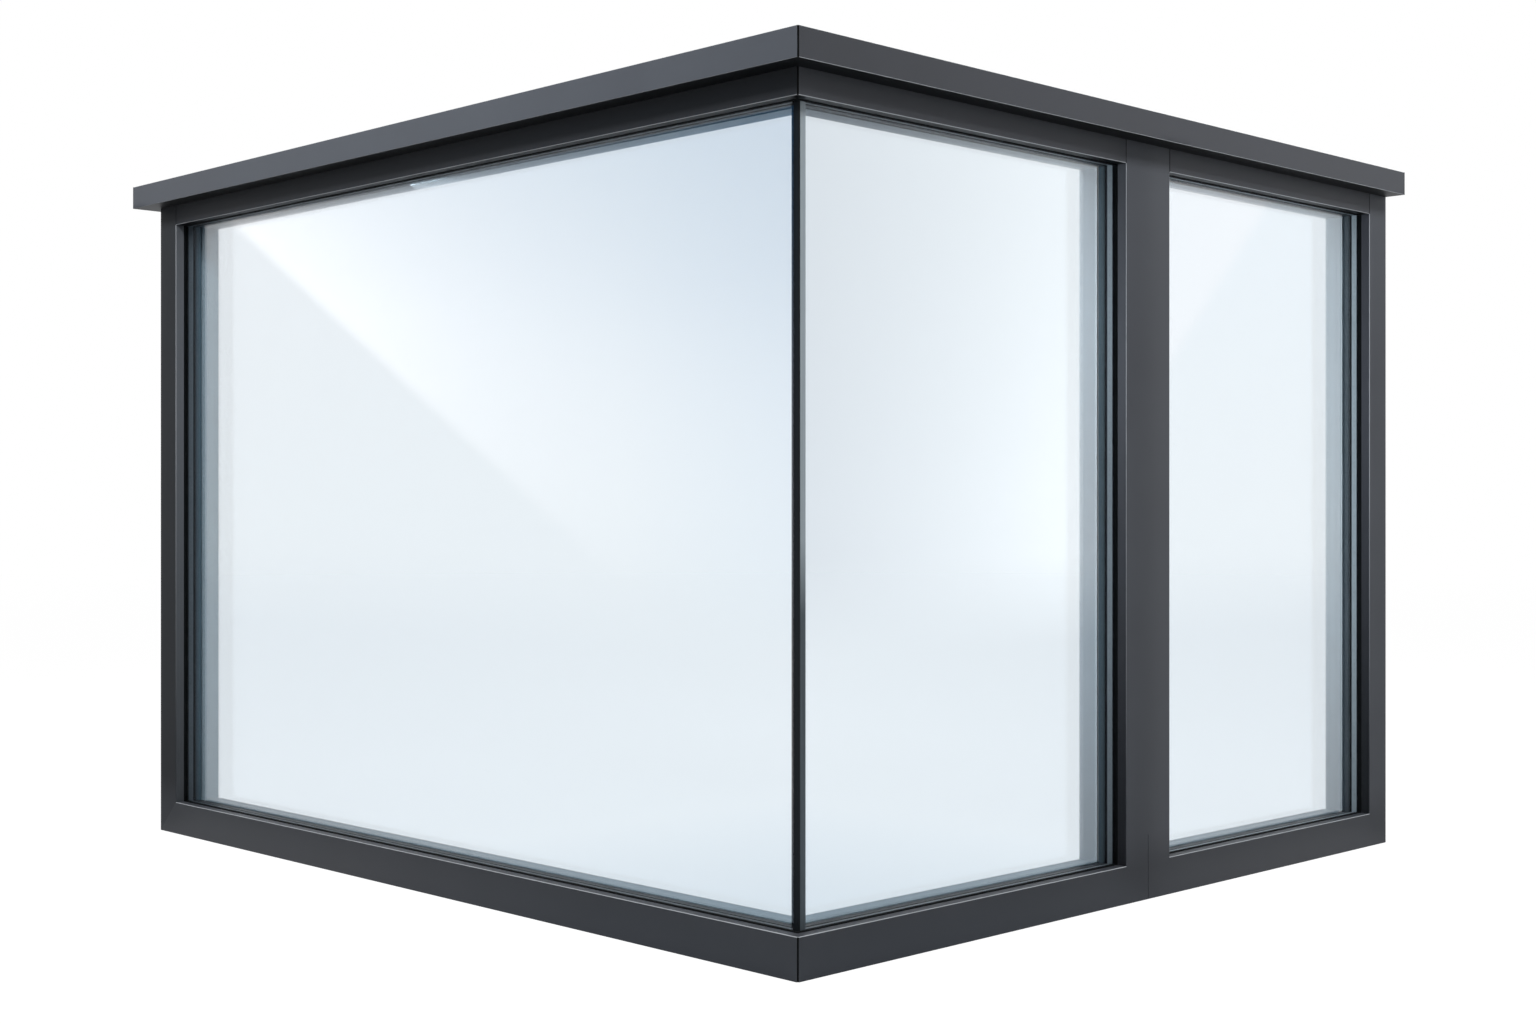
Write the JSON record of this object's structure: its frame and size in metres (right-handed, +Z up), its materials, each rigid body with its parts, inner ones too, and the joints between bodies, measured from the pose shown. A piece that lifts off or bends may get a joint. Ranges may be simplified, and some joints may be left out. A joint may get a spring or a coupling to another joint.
{
  "type": "corner window",
  "caption": "Corner window with a dark aluminium frame, a flat overhanging cap, fixed triple panes that meet glass to glass at the corner and a side light past a wide mullion.",
  "frame": {"origin": "outer bottom corner of the frame, where the outer faces of both wings and the sill base meet", "axes": "+X along the right wing, +Y along the left wing, +Z up; the window faces -X and -Y"},
  "size_m": [1.926, 2.182, 1.5],
  "materials": {
    "frame": "satin",
    "cap": "satin",
    "glass": "polished",
    "gasket": "matte",
    "spacer": "satin",
    "sealant": "matte",
    "corner_trim": "satin",
    "setting_block": "matte"
  },
  "bodies": {
    "root": {"cap_left": "cap", "cap_left_end_plate": "cap", "cap_right": "cap", "cap_right_end_plate": "cap", "corner_joint_seal": "sealant", "corner_silicone": "sealant", "corner_trim_inner": "corner_trim", "corner_trim_outer": "corner_trim", "head_left": "frame", "head_right": "frame", "head_side": "frame", "jamb_left": "frame", "jamb_right": "frame", "left_head_bead": "frame", "left_inner_gasket": "gasket", "left_inner_pane": "glass", "left_inner_spacer": "spacer", "left_jamb_bead": "frame", "left_middle_pane": "glass", "left_outer_gasket": "gasket", "left_outer_pane": "glass", "left_sill_bead": "frame", "left_spacer": "spacer", "mullion_left_half": "frame", "mullion_right_half": "frame", "right_head_bead": "frame", "right_inner_gasket": "gasket", "right_inner_pane": "glass", "right_inner_spacer": "spacer", "right_middle_pane": "glass", "right_mullion_bead": "frame", "right_outer_gasket": "gasket", "right_outer_pane": "glass", "right_sill_bead": "frame", "right_spacer": "spacer", "setting_blocks": "setting_block", "side_head_bead": "frame", "side_inner_gasket": "gasket", "side_inner_pane": "glass", "side_inner_spacer": "spacer", "side_jamb_bead": "frame", "side_middle_pane": "glass", "side_mullion_bead": "frame", "side_outer_gasket": "gasket", "side_outer_pane": "glass", "side_sill_bead": "frame", "side_spacer": "spacer", "sill_left": "frame", "sill_right": "frame", "sill_side": "frame"}
  },
  "joints": []
}
